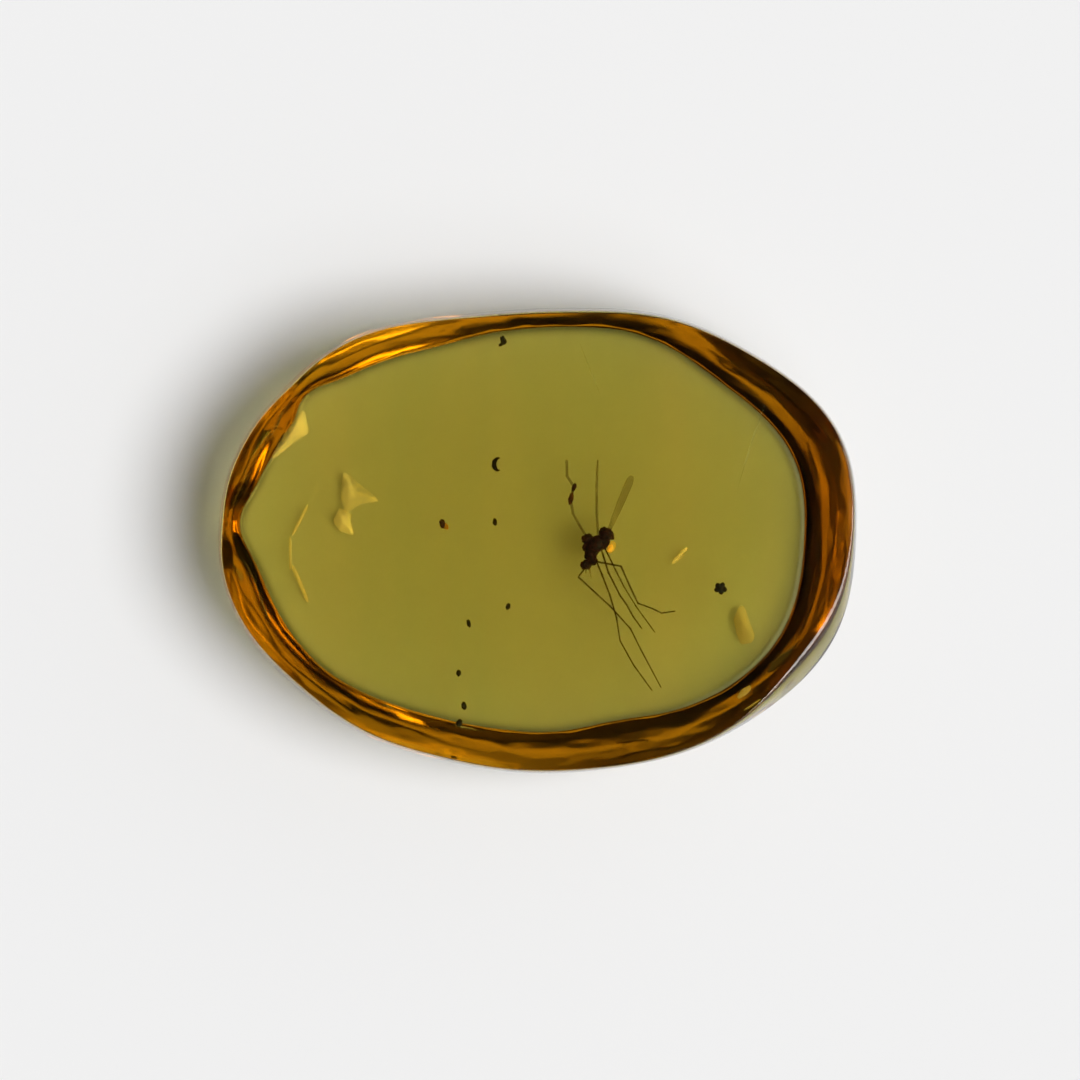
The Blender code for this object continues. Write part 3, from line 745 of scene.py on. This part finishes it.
def build_crescent():
    """A black crescent: a thick curved tube, thinning to both ends."""
    bm = bmesh.new()
    x, y, z = CRESCENT_MIDDLE
    path = []
    for i in range(41):
        a = math.radians(CRESCENT_START + CRESCENT_SWEEP * i / 40)
        path.append(Vector((x + CRESCENT_HALF[0] * math.cos(a),
                            y + CRESCENT_HALF[1] * math.sin(a),
                            z + CRESCENT_HALF[2] * math.sin(3 * a))))
    add_tube(bm, path, lambda t: 0.022 + 0.085 * math.sin(math.pi * t) ** 0.9,
             sides=14)
    for v in bm.verts:
        p = v.co / MM
        v.co += Vector((noise.noise(p * 7), noise.noise(p * 7 + Vector((9, 0, 0))),
                        noise.noise(p * 7 + Vector((0, 9, 0))))) * 0.03 * MM
    mat = grainy('crescent_fragment', (0.004, 0.004, 0.003), (0.03, 0.022, 0.010))
    piece('crescent_lump', bm, [mat], ('crescent_fragment',))


def build_star():
    """A dark grain with rounded lobes."""
    bm = bmesh.new()
    add_lump(bm, STAR_MIDDLE, (0.20, 0.20, 0.12), 0, rough=0.10, seed=8.0)
    for k in range(STAR_POINTS):
        a = math.radians(60 + 360 / STAR_POINTS * k + 6 * math.sin(3 * k))
        add_lump(bm, beside(STAR_MIDDLE, STAR_REACH[0] * math.cos(a),
                            STAR_REACH[1] * math.sin(a)),
                 (0.115, 0.12, 0.09), math.degrees(a), rough=0.25, seed=k, detail=3)
    mat = grainy('star_grain', (0.004, 0.004, 0.004), (0.022, 0.022, 0.018))
    piece('star_lump', bm, [mat], ('star_grain',))


# --------------------------------------------------------- floor, light, view
# The floor: size and how far it lies under the stone, in metres, and its grey.
FLOOR_SIZE, FLOOR_DROP, FLOOR_GREY = 3.0, 0.00003, 0.89
# Suns: name, azimuth, elevation, half width of the disc, strength.
SUNS = (('key', -12, 57, 19, 2.6), ('fill', -45, 50, 19, 0.5))
# The room: how it lightens towards X and Y, its level, and its least; then how
# bright it is by height, from the horizon (0) to straight overhead (1).
ROOM_LEAN, ROOM_LEVEL, ROOM_LEAST = (1.6, 0.24, 0), 0.72, 0.16
ROOM_RAMP = ((0, 1), (0.1, 0.7), (0.35, 0.25), (0.85, 0.15), (0.93, 0.075),
             (0.97, 0.01))
# The camera, in metres: how far above the level at which the frame's scale
# holds, and that level. Then the width of its sensor.
CAMERA_DISTANCE, CAMERA_LEVEL = 0.30, 0.0045
SENSOR = 36


def add_sun(name, azimuth, elevation, radius, energy):
    lamp = bpy.data.lights.new(name, 'SUN')
    lamp.energy = energy
    lamp.angle = math.radians(2 * radius)
    az, el = math.radians(azimuth), math.radians(elevation)
    link(name, lamp).rotation_euler = Vector((
        math.cos(az) * math.cos(el), math.sin(az) * math.cos(el),
        math.sin(el))).to_track_quat('Z', 'Y').to_euler()


def build_room():
    """World light: lighter low down and on the right, and dark overhead."""
    world = bpy.data.worlds.new('studio')
    bpy.context.scene.world = world
    world.use_nodes = True
    tree = world.node_tree

    def math_node(kind, value=None):
        node = tree.nodes.new('ShaderNodeMath')
        node.operation = kind
        if value is not None:
            node.inputs[1].default_value = value
        return node

    coord = tree.nodes.new('ShaderNodeTexCoord')
    split = tree.nodes.new('ShaderNodeSeparateXYZ')
    lean = tree.nodes.new('ShaderNodeVectorMath')
    lean.operation = 'DOT_PRODUCT'
    lean.inputs[1].default_value = ROOM_LEAN
    level = math_node('ADD', ROOM_LEVEL)
    least = math_node('MAXIMUM', ROOM_LEAST)
    ramp = tree.nodes.new('ShaderNodeValToRGB')
    fill_ramp(ramp, [(pos, (value,) * 3) for pos, value in ROOM_RAMP])
    times = math_node('MULTIPLY')
    sky = tree.nodes['Background']
    sky.inputs['Color'].default_value = (1, 1, 1, 1)
    for a, b in ((coord.outputs['Generated'], split.inputs[0]),
                 (coord.outputs['Generated'], lean.inputs[0]),
                 (lean.outputs['Value'], level.inputs[0]),
                 (level.outputs[0], least.inputs[0]),
                 (split.outputs['Z'], ramp.inputs['Fac']),
                 (least.outputs[0], times.inputs[0]),
                 (ramp.outputs['Color'], times.inputs[1]),
                 (times.outputs[0], sky.inputs['Strength'])):
        tree.links.new(a, b)


def build_stage():
    bpy.ops.mesh.primitive_plane_add(size=FLOOR_SIZE, location=(0, 0, -FLOOR_DROP))
    floor = bpy.context.object
    floor.name = 'floor'
    sh = Shader('pale_floor', Base_Color=(FLOOR_GREY, FLOOR_GREY, FLOOR_GREY, 1),
                Roughness=0.9, Specular_IOR_Level=0.0)
    floor.data.materials.append(sh.mat)
    for sun in SUNS:
        add_sun(*sun)
    build_room()

    cam = bpy.data.cameras.new('camera')
    view = link('camera', cam)
    cam.sensor_width = SENSOR
    cam.lens = SENSOR * CAMERA_DISTANCE / (FRAME_PX * PX * MM)
    view.location = ((FRAME_PX / 2 - STONE_PX[0]) * PX * MM, 0,
                     CAMERA_DISTANCE + CAMERA_LEVEL)
    bpy.context.scene.camera = view
    bpy.context.scene.view_settings.view_transform = 'Standard'


build_amber()
build_fly()
build_specks()
build_grains()
build_crescent()
build_star()
build_stage()
